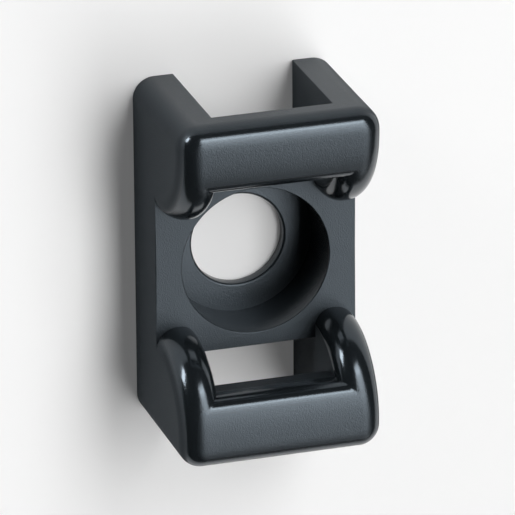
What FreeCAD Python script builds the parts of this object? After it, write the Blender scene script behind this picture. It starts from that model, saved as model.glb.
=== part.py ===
import FreeCAD, Part
import math
import os
import Sketcher

# Screw-down saddle mount for a wide strap, moulded in one piece from black nylon.
# Its flat mounting face lies on z = 0 and the screw stands on the Z axis.
# X runs along the mount, the way the strap runs, and Y across it.

doc = FreeCAD.newDocument("saddle_mount")


# Driving sizes, in millimetres

sizes = doc.addObject("Spreadsheet::Sheet", "Sizes")
SIZE_ROWS = [
    ("mount_length", 27.7, "over both ends, along the strap"),
    ("mount_height", 12.8, "mounting face to the crown of the arms"),
    ("strap_width", 9.0, "widest strap that the channel takes"),
    ("strap_clearance", 0.25, "play on each side of the strap"),
    ("arm_thickness", 3.25, "each side arm, across the mount"),
    ("plate_length", 14.0, "middle plate, between the two strap openings"),
    ("plate_thickness", 5.6, "mounting face to the seat of the strap"),
    ("bar_width", 5.5, "each cross bar, along the mount"),
    ("gap_inside", 3.4, "seat of the strap to the underside of each bar, at the plate"),
    ("gap_at_end", 4.3, "the same gap at the end of the mount, where it flares"),
    ("foot_spacing", 9.3, "between the feet of the lobes, on the seat"),
    ("crown_land", 0.15, "least flat on top of each arm, between lobe and end rounding"),
    ("end_radius", 1.8, "rounding of the front edge at each end"),
    ("outer_edge_radius", 1.7, "rounding of the upright corners and outer arm edges"),
    ("inner_edge_radius", 1.4, "rounding of the arms and bars towards the channel"),
    ("screw_hole", 7.4, "clearance hole for the screw"),
    ("head_recess", 11.8, "recess that the screw head sinks into"),
    ("screw_land", 1.0, "floor left under the screw head"),
    ("cut_margin", 1.0, "how far a cut is drawn past the outside of the block"),
]
for row, (alias, value, meaning) in enumerate(SIZE_ROWS, start=1):
    sizes.set("A%d" % row, meaning)
    sizes.set("B%d" % row, "%g" % value)
    sizes.setAlias("B%d" % row, alias)
doc.recompute()

CHANNEL_WIDTH = "(Sizes.strap_width + 2 * Sizes.strap_clearance)"
MOUNT_WIDTH = "(%s + 2 * Sizes.arm_thickness)" % CHANNEL_WIDTH
ARM_RISE = "(Sizes.mount_height - Sizes.plate_thickness)"
LAST_CROWN = "(Sizes.mount_length / 2 - Sizes.end_radius - Sizes.crown_land)"
CROWN_START = "min(Sizes.foot_spacing / 2 + %s; %s)" % (ARM_RISE, LAST_CROWN)
BAR_SPACING = "(Sizes.mount_length - 2 * Sizes.bar_width)"
LOBE_REACH = "(%s - %s / 2)" % (CROWN_START, BAR_SPACING)
BAR_FACE_HEIGHT = "(sqrt(%s ^ 2 - %s ^ 2) - Sizes.gap_inside)" % (ARM_RISE, LOBE_REACH)
INNER_RADIUS = "min(Sizes.inner_edge_radius; %s / 2)" % BAR_FACE_HEIGHT


def in_mm(expression):
    """The present value of an expression in the driving sizes."""
    return float(sizes.evalExpression(expression))


# Sketching helpers

ORIGIN = (-1, 1)


def point(x, y):
    return FreeCAD.Vector(x, y, 0)


def sketch_on(body, role, name):
    """A new sketch on one of the body's own origin planes."""
    plane = next(f for f in body.Origin.OriginFeatures if f.Role == role)
    sketch = body.newObject("Sketcher::SketchObject", name)
    sketch.AttachmentSupport = (plane, [""])
    sketch.MapMode = "FlatFace"
    return sketch


def join_sides(sketch, count):
    """Each side of a closed outline starts where the side before it ends."""
    for i in range(count):
        sketch.addConstraint(Sketcher.Constraint("Coincident", i, 2, (i + 1) % count, 1))


def hold(sketch, kind, elements, name, expression):
    """A named size in the sketch, bound to the driving sizes."""
    number = sketch.addConstraint(Sketcher.Constraint(kind, *elements, in_mm(expression)))
    sketch.renameConstraint(number, name)
    sketch.setExpression("Constraints." + name, expression)


def mirror_points(sketch, first, second):
    """Two points lie equally far to both sides of the sketch's upright axis."""
    sketch.addConstraint(Sketcher.Constraint("Symmetric", *first, *second, -2))


def cut_across(body, sketch, name, width):
    """A pocket that reaches equally far to both sides of the sketch."""
    pocket = body.newObject("PartDesign::Pocket", name)
    pocket.Profile = sketch
    pocket.SideType = "Symmetric"
    pocket.setExpression("Length", width)
    doc.recompute()
    return pocket


def round_edges(body, feature, name, wanted, radius):
    """A fillet on those edges of the feature that pass the test."""
    edges = ["Edge%d" % i for i, e in enumerate(feature.Shape.Edges, start=1) if wanted(e)]
    fillet = body.newObject("PartDesign::Fillet", name)
    fillet.Base = (feature, edges)
    fillet.setExpression("Radius", radius)
    doc.recompute()
    return fillet


def near(a, b):
    return abs(a - b) < 1e-4


# The moulding: one solid

body = doc.addObject("PartDesign::Body", "Moulding")
body.Label = "mount_body"

half_length = in_mm("Sizes.mount_length / 2")
half_width = in_mm(MOUNT_WIDTH) / 2
half_channel = in_mm(CHANNEL_WIDTH) / 2
half_spacing = in_mm(BAR_SPACING) / 2
height = in_mm("Sizes.mount_height")
seat_level = in_mm("Sizes.plate_thickness")

# Block that the whole mount lies in
outline = sketch_on(body, "XY_Plane", "BlockOutline")
corners = [
    point(-half_length, -half_width),
    point(half_length, -half_width),
    point(half_length, half_width),
    point(-half_length, half_width),
]
for i in range(4):
    outline.addGeometry(Part.LineSegment(corners[i], corners[(i + 1) % 4]))
join_sides(outline, 4)
for side, direction in enumerate(["Horizontal", "Vertical", "Horizontal", "Vertical"]):
    outline.addConstraint(Sketcher.Constraint(direction, side))
hold(outline, "DistanceX", (0, 1, 0, 2), "Length", "Sizes.mount_length")
hold(outline, "DistanceY", (1, 1, 1, 2), "Width", MOUNT_WIDTH)
outline.addConstraint(Sketcher.Constraint("Symmetric", 0, 1, 1, 2, *ORIGIN))
block = body.newObject("PartDesign::Pad", "Block")
block.Profile = outline
block.setExpression("Length", "Sizes.mount_height")
doc.recompute()


# Rounded front edge at each end
def is_front_end_edge(edge):
    middle = edge.CenterOfMass
    return near(middle.z, height) and near(abs(middle.x), half_length)


ends = round_edges(body, block, "EndRounding", is_front_end_edge, "Sizes.end_radius")

# Saddle over the whole width: level seat and a quarter-round lobe up to each crown
saddle = sketch_on(body, "XZ_Plane", "SaddleProfile")
crown = in_mm(CROWN_START)
rise = in_mm(ARM_RISE)
above = height + in_mm("Sizes.cut_margin")
foot = crown - rise
quarter_left = Part.Circle(point(-crown, seat_level), FreeCAD.Vector(0, 0, 1), rise)
quarter_right = Part.Circle(point(crown, seat_level), FreeCAD.Vector(0, 0, 1), rise)
SEAT, RIGHT_LOBE, RIGHT_EDGE, TOP, LEFT_EDGE, LEFT_LOBE = range(6)
saddle.addGeometry(Part.LineSegment(point(-foot, seat_level), point(foot, seat_level)))
saddle.addGeometry(Part.ArcOfCircle(quarter_right, math.pi / 2, math.pi))
saddle.addGeometry(Part.LineSegment(point(crown, height), point(crown, above)))
saddle.addGeometry(Part.LineSegment(point(crown, above), point(-crown, above)))
saddle.addGeometry(Part.LineSegment(point(-crown, above), point(-crown, height)))
saddle.addGeometry(Part.ArcOfCircle(quarter_left, 0, math.pi / 2))
saddle.addConstraint([
    Sketcher.Constraint("Coincident", SEAT, 2, RIGHT_LOBE, 2),
    Sketcher.Constraint("Coincident", RIGHT_LOBE, 1, RIGHT_EDGE, 1),
    Sketcher.Constraint("Coincident", RIGHT_EDGE, 2, TOP, 1),
    Sketcher.Constraint("Coincident", TOP, 2, LEFT_EDGE, 1),
    Sketcher.Constraint("Coincident", LEFT_EDGE, 2, LEFT_LOBE, 2),
    Sketcher.Constraint("Coincident", LEFT_LOBE, 1, SEAT, 1),
    Sketcher.Constraint("Horizontal", TOP),
    Sketcher.Constraint("Vertical", RIGHT_EDGE),
    Sketcher.Constraint("Vertical", LEFT_EDGE),
    Sketcher.Constraint("Horizontal", RIGHT_LOBE, 3, RIGHT_LOBE, 2),
    Sketcher.Constraint("Vertical", RIGHT_LOBE, 3, RIGHT_LOBE, 1),
    Sketcher.Constraint("Vertical", LEFT_LOBE, 3, LEFT_LOBE, 2),
])
mirror_points(saddle, (SEAT, 1), (SEAT, 2))
mirror_points(saddle, (LEFT_LOBE, 3), (RIGHT_LOBE, 3))
hold(saddle, "DistanceY", (*ORIGIN, SEAT, 1), "SeatLevel", "Sizes.plate_thickness")
hold(saddle, "Radius", (RIGHT_LOBE,), "LobeRadius", ARM_RISE)
hold(saddle, "DistanceX", (*ORIGIN, RIGHT_LOBE, 3), "CrownStart", CROWN_START)
hold(saddle, "DistanceY", (RIGHT_EDGE, 1, RIGHT_EDGE, 2), "Above", "Sizes.cut_margin")
saddle_cut = cut_across(body, saddle, "Saddle", MOUNT_WIDTH + " + 2 * Sizes.cut_margin")


# Rounded upright corners, running on over the crowns and down the lobes
def is_outer_arm_edge(edge):
    box = edge.BoundBox
    in_side_face = near(box.YMin, box.YMax) and near(abs(box.YMin), half_width)
    return in_side_face and box.ZMax > seat_level and not near(box.ZMax, seat_level)


outside = round_edges(body, saddle_cut, "OuterRounding", is_outer_arm_edge, "Sizes.outer_edge_radius")

# Channel for the strap: open past both ends of the plate, closed over by the two bars
channel = sketch_on(body, "XZ_Plane", "ChannelProfile")
half_plate = in_mm("Sizes.plate_length / 2")
beyond = half_length + in_mm("Sizes.cut_margin")
below = -in_mm("Sizes.cut_margin")
inner_level = seat_level + in_mm("Sizes.gap_inside")
end_level = seat_level + in_mm("Sizes.gap_at_end")
right_corners = [
    point(half_plate, seat_level),
    point(half_plate, below),
    point(half_length, below),
    point(half_length, end_level),
    point(half_spacing, inner_level),
    point(half_spacing, above),
]
left_corners = [point(-corner.x, corner.y) for corner in reversed(right_corners)]
corners = right_corners + left_corners
for i, corner in enumerate(corners):
    channel.addGeometry(Part.LineSegment(corner, corners[(i + 1) % len(corners)]))
join_sides(channel, len(corners))
PLATE_END, BELOW, END_FACE, UNDERSIDE, BAR_FACE, OVER, BAR_FACE_L = range(7)
UNDERSIDE_L, END_FACE_L, BELOW_L, PLATE_END_L, PLATE_TOP = range(7, 12)
for side in (PLATE_END, END_FACE, BAR_FACE, BAR_FACE_L, PLATE_END_L):
    channel.addConstraint(Sketcher.Constraint("Vertical", side))
for side in (BELOW, OVER, BELOW_L):
    channel.addConstraint(Sketcher.Constraint("Horizontal", side))
for right, left in ((PLATE_END, PLATE_END_L), (END_FACE, END_FACE_L), (BAR_FACE, BAR_FACE_L)):
    mirror_points(channel, (right, 1), (left, 2))
mirror_points(channel, (END_FACE, 2), (END_FACE_L, 1))
hold(channel, "DistanceX", (PLATE_TOP, 1, PLATE_TOP, 2), "PlateLength", "Sizes.plate_length")
hold(channel, "DistanceX", (END_FACE_L, 2, END_FACE, 1), "Length", "Sizes.mount_length")
hold(channel, "DistanceX", (BAR_FACE_L, 2, BAR_FACE, 1), "BarSpacing", BAR_SPACING)
hold(channel, "DistanceY", (*ORIGIN, PLATE_TOP, 1), "SeatLevel", "Sizes.plate_thickness")
hold(channel, "DistanceY", (BELOW, 2, *ORIGIN), "Below", "Sizes.cut_margin")
hold(channel, "DistanceY", (PLATE_TOP, 1, BAR_FACE, 1), "GapInside", "Sizes.gap_inside")
hold(channel, "DistanceY", (PLATE_TOP, 1, END_FACE, 2), "GapAtEnd", "Sizes.gap_at_end")
hold(channel, "DistanceY", (*ORIGIN, OVER, 1), "Above", "Sizes.mount_height + Sizes.cut_margin")
channel_cut = cut_across(body, channel, "Channel", CHANNEL_WIDTH)


# Rounded edges of the lobes and bars towards the channel
def is_inner_edge(edge):
    box = edge.BoundBox
    on_lobe = near(box.YMin, box.YMax) and near(abs(box.YMin), half_channel)
    on_lobe = on_lobe and near(box.ZMin, seat_level) and "Circle" in edge.Curve.TypeId
    on_bar = near(box.XMin, box.XMax) and near(abs(box.XMin), half_spacing)
    on_bar = on_bar and near(box.ZMin, box.ZMax) and box.ZMin > end_level
    return on_lobe or on_bar


inside = round_edges(body, channel_cut, "InnerRounding", is_inner_edge, INNER_RADIUS)

# Screw hole with a flat-bottomed recess for the head, sunk from the seat
screw_place = sketch_on(body, "XY_Plane", "ScrewPlace")
screw_place.setExpression("AttachmentOffset.Base.z", "Sizes.plate_thickness")
screw_place.addGeometry(Part.Circle(point(0, 0), FreeCAD.Vector(0, 0, 1), in_mm("Sizes.screw_hole / 2")))
screw_place.addConstraint(Sketcher.Constraint("Coincident", 0, 3, *ORIGIN))
hold(screw_place, "Radius", (0,), "HoleRadius", "Sizes.screw_hole / 2")
doc.recompute()
screw = body.newObject("PartDesign::Hole", "ScrewHole")
screw.Profile = screw_place
doc.recompute()
screw.ThreadType = "None"
screw.HoleCutType = "Counterbore"
screw.HoleCutCustomValues = True
screw.DepthType = "ThroughAll"
screw.DrillPoint = "Flat"
screw.setExpression("Diameter", "Sizes.screw_hole")
screw.setExpression("HoleCutDiameter", "Sizes.head_recess")
screw.setExpression("HoleCutDepth", "Sizes.plate_thickness - Sizes.screw_land")
body.Tip = screw
doc.recompute()

# Every feature must have built, and the result must be one sound solid
for item in doc.Objects:
    if "Invalid" in item.State or "Error" in item.State:
        raise RuntimeError("%s did not build: %s" % (item.Label, item.State))
solid = body.Shape
if solid.isNull() or not solid.isValid() or len(solid.Solids) != 1:
    raise RuntimeError("the moulding is not one sound solid")

os.makedirs("parts", exist_ok=True)
solid.exportStep("parts/%s.step" % body.Label)
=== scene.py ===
import math

import bmesh
import bpy
from mathutils import Matrix, Vector


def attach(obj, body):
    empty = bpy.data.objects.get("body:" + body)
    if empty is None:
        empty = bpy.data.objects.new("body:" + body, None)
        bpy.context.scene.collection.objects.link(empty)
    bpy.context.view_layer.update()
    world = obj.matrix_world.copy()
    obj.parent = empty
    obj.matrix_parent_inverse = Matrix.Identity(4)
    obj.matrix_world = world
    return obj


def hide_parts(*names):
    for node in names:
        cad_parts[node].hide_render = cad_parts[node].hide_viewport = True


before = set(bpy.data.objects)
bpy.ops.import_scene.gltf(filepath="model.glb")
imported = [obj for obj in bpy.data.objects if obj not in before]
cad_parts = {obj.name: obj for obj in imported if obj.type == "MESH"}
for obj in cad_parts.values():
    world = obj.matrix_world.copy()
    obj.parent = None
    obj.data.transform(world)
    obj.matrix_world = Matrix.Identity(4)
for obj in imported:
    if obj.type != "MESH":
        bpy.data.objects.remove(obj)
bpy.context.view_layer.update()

# The moulding: a screw-down saddle mount, injection-moulded in one piece from black
# nylon. One screw through the hole in its plate holds it down, and the channel
# between its arms runs under the two cross bars. It has no other part.

MM = 0.001

# Sizes in millimetres
HALF_LENGTH = 13.85
HALF_WIDTH = 8.0
HEIGHT = 12.8
SEAT = 5.6
HALF_PLATE = 7.0
HALF_CHANNEL = 4.75
FOOT = 4.65
CROWN_START = 11.85
END_RADIUS = 1.8
OUTER_RADIUS = 1.7
INNER_RADIUS = 1.4
BAR_FACE = 8.35
BAR_BACK = 9.0
BAR_BACK_AT_END = 9.9
SCREW_HOLE = 3.7
HEAD_RECESS = 5.9
SCREW_LAND = 1.0
HOLE_RIM = 0.22
BROKEN_EDGE = 0.09

# How finely the curves are divided
LOBE_STEPS = 44
CROWN_STEPS = 14
END_STEPS = 10
ROUND_STEPS = 12
BORE_STEPS = 28
EDGE_STEPS = 3

# What counts as one point, as the hole's rim and as a sharp edge
SAME_POINT = 0.002
NEAR_RIM = 0.01
SAME_CORNER = 0.001
SHARP_FROM = math.radians(38)

# How strongly the large faces rule the shading, of 100
FLATS_WEIGH = 100

lobe_radius = CROWN_START - FOOT
end_arc_start = HALF_LENGTH - END_RADIUS
end_arc_level = HEIGHT - END_RADIUS


def on_lobe(angle, depth):
    """A point of the lobe's side view, some depth under its skin."""
    reach = lobe_radius - depth
    return (CROWN_START - reach * math.cos(angle), SEAT + reach * math.sin(angle))


def on_end(angle, depth):
    """The same for the rounding between the crown and the end face."""
    reach = END_RADIUS - depth
    return (
        end_arc_start + reach * math.sin(angle),
        end_arc_level + reach * math.cos(angle),
    )


# Ball that rounds the bar's edge: it touches the lobe's skin and the bar's face
ball_x = BAR_FACE + INNER_RADIUS
ball_reach = lobe_radius - INNER_RADIUS
ball_z = SEAT + math.sqrt(ball_reach ** 2 - (CROWN_START - ball_x) ** 2)


def meets_bar(depth):
    """Where a line under the lobe's skin runs into the bar."""
    reach = lobe_radius - depth
    z = SEAT + math.sqrt(reach ** 2 - (CROWN_START - BAR_FACE) ** 2)
    if z <= ball_z:
        return (BAR_FACE, z)
    turn = reach ** 2 - ball_reach ** 2 - INNER_RADIUS ** 2
    turn = turn / (2 * ball_reach * INNER_RADIUS)
    turn = math.acos(min(1.0, turn)) + math.atan2(CROWN_START - ball_x, ball_z - SEAT)
    return (
        ball_x - INNER_RADIUS * math.sin(turn),
        ball_z + INNER_RADIUS * math.cos(turn),
    )


class Skin:
    """Collects the faces of one quarter of the moulding."""

    def __init__(self):
        self.points = []
        self.faces = []

    def add(self, corners, flip=False):
        """One face; flip turns its outside round."""
        start = len(self.points)
        self.points.extend(corners)
        face = list(range(start, start + len(corners)))
        self.faces.append(face[::-1] if flip else face)

    def net(self, rows, flip=False):
        """Four-sided faces between neighbouring rows of points."""
        for one, two in zip(rows, rows[1:]):
            for i in range(len(one) - 1):
                self.add([one[i], one[i + 1], two[i + 1], two[i]], flip)


def with_y(curve, y):
    """A side-view curve, laid at one place across the mount."""
    return [(x, y, z) for x, z in curve]


def quarter_skin():
    """The skin of the quarter at +X +Y."""
    skin = Skin()
    turns = [math.pi / 2 * i / ROUND_STEPS for i in range(ROUND_STEPS + 1)]
    top_meeting = meets_bar(0.0)
    meeting_angle = math.atan2(top_meeting[1] - SEAT, CROWN_START - top_meeting[0])
    lobe_part = [meeting_angle * i / LOBE_STEPS for i in range(LOBE_STEPS)]
    crown_part = [
        meeting_angle + (math.pi / 2 - meeting_angle) * i / CROWN_STEPS
        for i in range(CROWN_STEPS + 1)
    ]
    end_part = [math.pi / 2 * i / END_STEPS for i in range(END_STEPS + 1)]

    def over_the_top(depth):
        """From the bar's rounding over the crown to the top of the end face."""
        curve = [on_lobe(angle, depth) for angle in crown_part]
        return curve + [on_end(angle, depth) for angle in end_part]

    def down_the_end(depth):
        """From the bar's lower edge to the mounting face."""
        x = HALF_LENGTH - depth
        return [(x, BAR_BACK_AT_END), (x, 0.0)]

    def whole_run(depth):
        """From the lobe's foot over the top and down to the mounting face."""
        curve = [on_lobe(angle, depth) for angle in lobe_part]
        return curve + over_the_top(depth) + down_the_end(depth)

    # Rounding towards the outside, from the foot to the mounting face
    rows = []
    for turn in turns:
        depth = OUTER_RADIUS * (1 - math.cos(turn))
        row_y = HALF_WIDTH - OUTER_RADIUS * (1 - math.sin(turn))
        rows.append(with_y(whole_run(depth), row_y))
    skin.net(rows)
    outer_line = rows[0]
    side_line = rows[-1]

    # Ridge between the two roundings, above the end face
    ridge_y = HALF_CHANNEL + INNER_RADIUS
    ridge_line = with_y(whole_run(0.0)[:-2], ridge_y)
    skin.net([ridge_line, outer_line[:-2]])

    # Rounding of the lobe towards the channel, up to the bar
    channel_rows = []
    line_ys = []
    meetings = []
    for turn in turns:
        depth = INNER_RADIUS * (1 - math.cos(turn))
        x, z = meets_bar(depth)
        last = math.atan2(z - SEAT, CROWN_START - x)
        line_y = ridge_y - INNER_RADIUS * math.sin(turn)
        line = [on_lobe(last * i / LOBE_STEPS, depth) for i in range(LOBE_STEPS)]
        channel_rows.append(with_y(line + [(x, z)], line_y))
        line_ys.append(line_y)
        meetings.append((x, z))
    skin.net(channel_rows, flip=True)

    # The bar's rounded edge and face, mitred into the two lobes
    for k in range(ROUND_STEPS):
        y, next_y = line_ys[k], line_ys[k + 1]
        for j in range(k):
            (xa, za), (xb, zb) = meetings[j], meetings[j + 1]
            skin.add(
                [(xa, y, za), (xa, next_y, za), (xb, next_y, zb), (xb, y, zb)],
                flip=True,
            )
        (xa, za), (xb, zb) = meetings[k], meetings[k + 1]
        skin.add([(xa, y, za), (xa, next_y, za), (xb, next_y, zb)], flip=True)
    face_line = meetings + [(BAR_FACE, BAR_BACK)]
    skin.net([with_y(face_line, HALF_CHANNEL), with_y(face_line, 0.0)], flip=True)

    # The bar's top, from its rounded edge over the crown to the end face
    top = over_the_top(0.0)
    skin.net([with_y(top, y) for y in line_ys + [0.0]], flip=True)

    # End face, bar underside and plate end
    end_top = [(HALF_LENGTH, y, end_arc_level) for y in [0.0] + line_ys[::-1]]
    skin.add(end_top + outer_line[-3:] + [
        (HALF_LENGTH, HALF_CHANNEL, 0.0),
        (HALF_LENGTH, HALF_CHANNEL, BAR_BACK_AT_END),
        (HALF_LENGTH, 0.0, BAR_BACK_AT_END),
    ], flip=True)
    skin.add([
        (BAR_FACE, 0.0, BAR_BACK),
        (BAR_FACE, HALF_CHANNEL, BAR_BACK),
        (HALF_LENGTH, HALF_CHANNEL, BAR_BACK_AT_END),
        (HALF_LENGTH, 0.0, BAR_BACK_AT_END),
    ])
    skin.add([
        (HALF_PLATE, 0.0, 0.0),
        (HALF_PLATE, HALF_CHANNEL, 0.0),
        (HALF_PLATE, HALF_CHANNEL, SEAT),
        (HALF_PLATE, 0.0, SEAT),
    ])

    # Inner face of the arm
    skin.add(channel_rows[-1] + [
        (BAR_FACE, HALF_CHANNEL, BAR_BACK),
        (HALF_LENGTH, HALF_CHANNEL, BAR_BACK_AT_END),
        (HALF_LENGTH, HALF_CHANNEL, 0.0),
        (HALF_PLATE, HALF_CHANNEL, 0.0),
        (HALF_PLATE, HALF_CHANNEL, SEAT),
    ])

    # Outer face of the arm
    skin.add([(0.0, HALF_WIDTH, 0.0), (0.0, HALF_WIDTH, SEAT)] + side_line)

    # Seat, head recess, land under the screw head, hole and mounting face
    bore = [math.pi / 2 * i / BORE_STEPS for i in range(BORE_STEPS + 1)]

    def ring(radius, z):
        """A quarter of a circle round the screw axis."""
        return [(radius * math.cos(a), radius * math.sin(a), z) for a in bore]

    foot_outside = [row[0] for row in rows]
    foot_inside = [row[0] for row in channel_rows]
    skin.add(
        ring(HEAD_RECESS, SEAT)[::-1]
        + [(HALF_PLATE, 0.0, SEAT), (HALF_PLATE, HALF_CHANNEL, SEAT)]
        + foot_inside[::-1] + foot_outside + [(0.0, HALF_WIDTH, SEAT)]
    )
    skin.net([ring(HEAD_RECESS, SEAT), ring(HEAD_RECESS, SCREW_LAND)])
    skin.net([ring(HEAD_RECESS, SCREW_LAND), ring(SCREW_HOLE, SCREW_LAND)])
    skin.net([ring(SCREW_HOLE, SCREW_LAND), ring(SCREW_HOLE, 0.0)])
    skin.add(
        ring(SCREW_HOLE, 0.0)
        + [(0.0, HALF_WIDTH, 0.0)]
        + [row[-1] for row in rows][::-1]
        + [
            (HALF_LENGTH, HALF_CHANNEL, 0.0),
            (HALF_PLATE, HALF_CHANNEL, 0.0),
            (HALF_PLATE, 0.0, 0.0),
        ]
    )
    return skin


# Finish: 1 is polished, 0 is the grained flat, SIDE_MATT is the most matt
SIDE_MATT = -1.6
BORE_POLISH = 0.75
LAND_POLISH = 0.25
PLANE_AREA = 3.0 * MM * MM
TANGENT_FROM = math.cos(math.radians(20))
FACES_SIDEWARD = 0.9
FACES_UP = 0.5
GRAIN_FADES = math.radians(5)
GRAIN_ENDS = math.radians(40)
SIDE_FADES = 0.72
SIDE_ENDS = 0.96
CORNER_KEEPS = 0.16
BLEND_POWER = 4
LEAST_OUTWARD = 0.01


def eased(value, start, end):
    """0 up to start, 1 from end on, and a soft change between them."""
    share = min(1.0, max(0.0, (value - start) / (end - start)))
    return share * share * (3.0 - 2.0 * share)


def flat_finish(face):
    """The outer and inner faces of the arms are matt, every other flat is grained."""
    return SIDE_MATT if abs(face.normal.y) > FACES_SIDEWARD else 0.0


def rounding_finish(lean, centre):
    """Polish rises as a rounding leans over and ends where it faces outwards."""
    tilt = math.acos(min(1.0, abs(lean.z)))
    endward = max(0.0, lean.x if centre.x > 0 else -lean.x)
    sideward = max(0.0, lean.y if centre.y > 0 else -lean.y)
    outward = math.hypot(endward, sideward)
    corner_share = 2.0 * endward * sideward / max(outward ** 2, LEAST_OUTWARD)
    fades = SIDE_FADES + CORNER_KEEPS * corner_share ** BLEND_POWER
    polish = eased(tilt, GRAIN_FADES, GRAIN_ENDS)
    matt = SIDE_MATT * (1.0 - endward ** BLEND_POWER)
    return polish + (matt - polish) * eased(outward, fades, SIDE_ENDS)


def mark_finish(mesh):
    """Writes the finish of every face corner into the attribute "polish"."""
    planes = {face.index for face in mesh.polygons if face.area > PLANE_AREA}
    planes_at = {}
    curved_at = {}
    for face in mesh.polygons:
        at = planes_at if face.index in planes else curved_at
        for corner in face.vertices:
            at.setdefault(corner, []).append(face.normal.copy())

    def level_with(face, normals):
        """Those of the normals that point nearly the way the face does."""
        return [n for n in normals if n.dot(face.normal) > TANGENT_FROM]

    polish = mesh.attributes.new("polish", "FLOAT", "CORNER")
    for face in mesh.polygons:
        reach = math.hypot(face.center.x, face.center.y)
        in_bore = reach < HEAD_RECESS * MM and face.index not in planes
        for loop in face.loop_indices:
            corner = mesh.loops[loop].vertex_index
            if in_bore:
                value = LAND_POLISH if abs(face.normal.z) > FACES_UP else BORE_POLISH
            elif face.index in planes or level_with(face, planes_at.get(corner, [])):
                value = flat_finish(face)
            else:
                lean = sum(level_with(face, curved_at[corner]), Vector()).normalized()
                value = rounding_finish(lean, face.center)
            polish.data[loop].value = value


def on_hole_rim(edge):
    """Whether an edge lies on the upper rim of the screw hole."""
    return all(
        abs(math.hypot(v.co.x, v.co.y) - SCREW_HOLE * MM) < NEAR_RIM * MM
        and abs(v.co.z - SCREW_LAND * MM) < NEAR_RIM * MM
        for v in edge.verts
    )


def moulded_body():
    """Four mirrored quarters of the skin, welded into one closed mesh."""
    skin = quarter_skin()
    points = []
    faces = []
    for sign_x, sign_y in ((1, 1), (-1, 1), (-1, -1), (1, -1)):
        start = len(points)
        points.extend(
            (x * sign_x * MM, y * sign_y * MM, z * MM) for x, y, z in skin.points
        )
        for face in skin.faces:
            turned = face[::-1] if sign_x * sign_y < 0 else face
            faces.append([start + i for i in turned])
    mesh = bpy.data.meshes.new("moulding")
    mesh.from_pydata(points, [], faces)
    shaper = bmesh.new()
    shaper.from_mesh(mesh)
    bmesh.ops.remove_doubles(shaper, verts=shaper.verts, dist=SAME_POINT * MM)
    bmesh.ops.recalc_face_normals(shaper, faces=shaper.faces)
    open_edges = sum(1 for edge in shaper.edges if len(edge.link_faces) != 2)
    if open_edges:
        raise RuntimeError("the moulding has %d open edges" % open_edges)
    broken = shaper.edges.layers.float.new("bevel_weight_edge")
    for edge in shaper.edges:
        turn = edge.calc_face_angle_signed()
        if turn > SHARP_FROM:
            edge[broken] = 1.0 if on_hole_rim(edge) else BROKEN_EDGE / HOLE_RIM
        elif turn < -SHARP_FROM:
            edge.smooth = False
    for face in shaper.faces:
        face.smooth = True
    shaper.to_mesh(mesh)
    shaper.free()
    mark_finish(mesh)
    body = bpy.data.objects.new("moulding", mesh)
    bpy.context.scene.collection.objects.link(body)
    return body


moulding = moulded_body()
breaker = moulding.modifiers.new("broken edges", "BEVEL")
breaker.width = HOLE_RIM * MM
breaker.segments = EDGE_STEPS
breaker.limit_method = "WEIGHT"
breaker.use_clamp_overlap = False
welder = moulding.modifiers.new("joined corners", "WELD")
welder.merge_threshold = SAME_CORNER * MM
evener = moulding.modifiers.new("even shading", "WEIGHTED_NORMAL")
evener.mode = "FACE_AREA"
evener.weight = FLATS_WEIGH
evener.keep_sharp = True

# Nylon: the grained flats lie between the polished and the matt roughness, at 0.40
NYLON = (0.007, 0.009, 0.0105, 1.0)
NYLON_SHINE = 0.70
NYLON_SHINE_TINT = (0.75, 0.88, 1.0, 1.0)
POLISHED_ROUGHNESS = 0.12
MATT_ROUGHNESS = 0.85
PATCHY_ROUGHNESS = 0.06
GRAIN_PER_METRE = 9500.0
GRAIN_DETAIL = 3.0
GRAIN_HEIGHT = 0.03 * MM
GRAIN_ON_FLATS = 0.9
GRAIN_ON_POLISH = 0.10


def black_nylon():
    """Black nylon with a fine spark-eroded grain that fades where it is polished."""
    material = bpy.data.materials.new("black nylon")
    material.use_nodes = True
    nodes = material.node_tree.nodes
    links = material.node_tree.links
    shader = nodes["Principled BSDF"]
    shader.inputs["Base Color"].default_value = NYLON
    shader.inputs["Specular IOR Level"].default_value = NYLON_SHINE
    shader.inputs["Specular Tint"].default_value = NYLON_SHINE_TINT
    place = nodes.new("ShaderNodeTexCoord")
    grain = nodes.new("ShaderNodeTexNoise")
    grain.inputs["Scale"].default_value = GRAIN_PER_METRE
    grain.inputs["Detail"].default_value = GRAIN_DETAIL
    links.new(place.outputs["Object"], grain.inputs["Vector"])
    polish = nodes.new("ShaderNodeAttribute")
    polish.attribute_name = "polish"
    gloss = nodes.new("ShaderNodeMapRange")
    gloss.inputs["From Min"].default_value = SIDE_MATT
    gloss.inputs["To Min"].default_value = MATT_ROUGHNESS
    gloss.inputs["To Max"].default_value = POLISHED_ROUGHNESS
    links.new(polish.outputs["Fac"], gloss.inputs["Value"])
    patchy = nodes.new("ShaderNodeMath")
    patchy.operation = "MULTIPLY_ADD"
    patchy.inputs[1].default_value = PATCHY_ROUGHNESS
    links.new(grain.outputs["Fac"], patchy.inputs[0])
    links.new(gloss.outputs["Result"], patchy.inputs[2])
    links.new(patchy.outputs[0], shader.inputs["Roughness"])
    depth = nodes.new("ShaderNodeMapRange")
    depth.inputs["To Min"].default_value = GRAIN_ON_FLATS
    depth.inputs["To Max"].default_value = GRAIN_ON_POLISH
    links.new(polish.outputs["Fac"], depth.inputs["Value"])
    relief = nodes.new("ShaderNodeBump")
    relief.inputs["Distance"].default_value = GRAIN_HEIGHT
    links.new(depth.outputs["Result"], relief.inputs["Strength"])
    links.new(grain.outputs["Fac"], relief.inputs["Height"])
    links.new(relief.outputs["Normal"], shader.inputs["Normal"])
    return material


moulding.data.materials.clear()
moulding.data.materials.append(black_nylon())
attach(moulding, "root")
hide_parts("mount_body")

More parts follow.
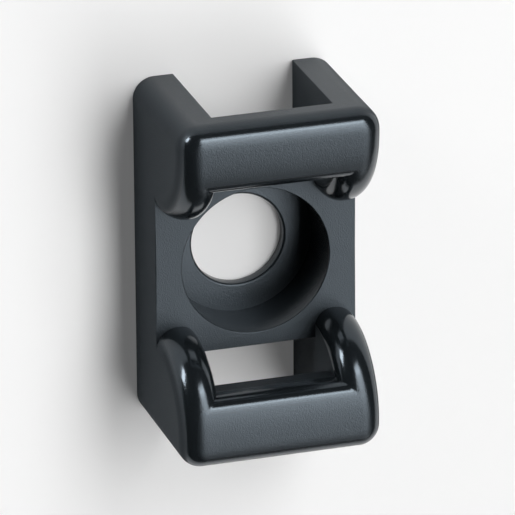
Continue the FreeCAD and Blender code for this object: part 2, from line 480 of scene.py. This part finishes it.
# The table top: a plain pale sheet of board, four metres square, laid flat.
# It keeps the mount's shadow. A small share of its colour is a glow that only the
# camera, gloss and clear surfaces see.

TABLE_HALF = 2.0
TABLE_COLOUR = (0.90, 0.90, 0.90, 1.0)
GLOW_SHARE = 0.08


def pale_sheet():
    """Matt pale board, blended with a little glow."""
    material = bpy.data.materials.new("pale sheet")
    material.use_nodes = True
    nodes = material.node_tree.nodes
    links = material.node_tree.links
    nodes.remove(nodes["Principled BSDF"])
    matt = nodes.new("ShaderNodeBsdfDiffuse")
    matt.inputs["Color"].default_value = TABLE_COLOUR
    glow = nodes.new("ShaderNodeEmission")
    glow.inputs["Strength"].default_value = 1.0
    blend = nodes.new("ShaderNodeMixShader")
    ray = nodes.new("ShaderNodeLightPath")
    seen = nodes.new("ShaderNodeMath")
    seen.operation = "ADD"
    links.new(ray.outputs["Is Camera Ray"], seen.inputs[0])
    links.new(ray.outputs["Is Glossy Ray"], seen.inputs[1])
    seen_also = nodes.new("ShaderNodeMath")
    seen_also.operation = "ADD"
    seen_also.use_clamp = True
    links.new(seen.outputs[0], seen_also.inputs[0])
    links.new(ray.outputs["Is Transmission Ray"], seen_also.inputs[1])
    share = nodes.new("ShaderNodeMath")
    share.operation = "MULTIPLY"
    share.inputs[1].default_value = GLOW_SHARE
    links.new(seen_also.outputs[0], share.inputs[0])
    links.new(share.outputs[0], blend.inputs["Fac"])
    links.new(matt.outputs[0], blend.inputs[1])
    links.new(glow.outputs[0], blend.inputs[2])
    links.new(blend.outputs[0], nodes["Material Output"].inputs["Surface"])
    return material


sheet = bpy.data.meshes.new("table top")
sheet.from_pydata([
    (-TABLE_HALF, -TABLE_HALF, 0),
    (TABLE_HALF, -TABLE_HALF, 0),
    (TABLE_HALF, TABLE_HALF, 0),
    (-TABLE_HALF, TABLE_HALF, 0),
], [], [(0, 1, 2, 3)])
sheet.materials.append(pale_sheet())
table = bpy.data.objects.new("table top", sheet)
bpy.context.scene.collection.objects.link(table)

# The studio: dim walls and five soft boxes. The long overhead box and the inner box
# light the seat and the crowns, the far box the far sides. The low box gives the
# glints on the lobes, and the edge strip the bright line along the crowns.

WALL_LIGHT = 0.04

world = bpy.data.worlds.new("dim studio")
bpy.context.scene.world = world
world.use_nodes = True
walls = world.node_tree.nodes["Background"]
walls.inputs["Color"].default_value = (1, 1, 1, 1)
walls.inputs["Strength"].default_value = WALL_LIGHT


def soft_box(name, toward, distance, size_along, size_across, radiance):
    """An area lamp at a distance in a direction, facing the mount."""
    lamp = bpy.data.lights.new(name, "AREA")
    lamp.shape = "RECTANGLE"
    lamp.size = size_along
    lamp.size_y = size_across
    lamp.energy = radiance * math.pi * size_along * size_across
    back = Vector(toward).normalized()
    along = (Vector((1, 0, 0)) - back * back.x).normalized()
    across = back.cross(along)
    holder = bpy.data.objects.new(name, lamp)
    holder.matrix_world = Matrix((
        (along.x, across.x, back.x, back.x * distance),
        (along.y, across.y, back.y, back.y * distance),
        (along.z, across.z, back.z, back.z * distance),
        (0, 0, 0, 1),
    ))
    bpy.context.scene.collection.objects.link(holder)


soft_box(
    "overhead box", toward=(0.06, -0.46, 1.0), distance=0.9,
    size_along=1.62, size_across=0.48, radiance=4.0,
)
soft_box(
    "inner box", toward=(0.42, -0.46, 1.0), distance=0.9,
    size_along=0.65, size_across=0.45, radiance=1.4,
)
soft_box(
    "far box", toward=(-0.78, -0.45, 0.40), distance=1.0,
    size_along=0.4, size_across=0.4, radiance=1.2,
)
soft_box(
    "low box", toward=(0.68, 0.73, 0.08), distance=1.0,
    size_along=0.36, size_across=0.22, radiance=16.0,
)
soft_box(
    "edge strip", toward=(0.72, -0.28, 0.63), distance=1.0,
    size_along=0.20, size_across=0.36, radiance=7.0,
)

# The camera: a long lens that looks down on the mount from its +X +Y corner, as in
# the photograph. It is aimed at the mount, and a square of that view, SHOWN_PX
# pixels wide, fills the picture.

CAMERA_PLACE = (0.18301, 0.13489, 0.43420)
CAMERA_RIGHT = (-0.00656815, -0.95342647, 0.30155403)
CAMERA_DOWN = (-0.93152815, 0.11548647, 0.34484516)
CAMERA_FORWARD = (-0.36360992, -0.27864108, -0.88890212)
FOCAL_PX = 2121.5
PHOTO_PX = 515
SHOWN_PX = 172
AIM_PX = (260.5, 287.5)
SENSOR_MM = 36.0
CLIP_NEAR = 0.01
CLIP_FAR = 10.0

middle = PHOTO_PX / 2
aim = (
    Vector(CAMERA_RIGHT) * ((AIM_PX[0] - middle) / FOCAL_PX)
    + Vector(CAMERA_DOWN) * ((AIM_PX[1] - middle) / FOCAL_PX)
    + Vector(CAMERA_FORWARD)
).normalized()
right = (Vector(CAMERA_RIGHT) - aim * aim.dot(Vector(CAMERA_RIGHT))).normalized()
up = right.cross(aim)
lens = bpy.data.cameras.new("camera")
lens.sensor_fit = "HORIZONTAL"
lens.sensor_width = SENSOR_MM
lens.lens = SENSOR_MM * FOCAL_PX / SHOWN_PX
lens.clip_start = CLIP_NEAR
lens.clip_end = CLIP_FAR
camera = bpy.data.objects.new("camera", lens)
camera.matrix_world = Matrix((
    (right.x, up.x, -aim.x, CAMERA_PLACE[0]),
    (right.y, up.y, -aim.y, CAMERA_PLACE[1]),
    (right.z, up.z, -aim.z, CAMERA_PLACE[2]),
    (0, 0, 0, 1),
))
bpy.context.scene.collection.objects.link(camera)
bpy.context.scene.camera = camera
bpy.context.scene.view_settings.view_transform = "Standard"
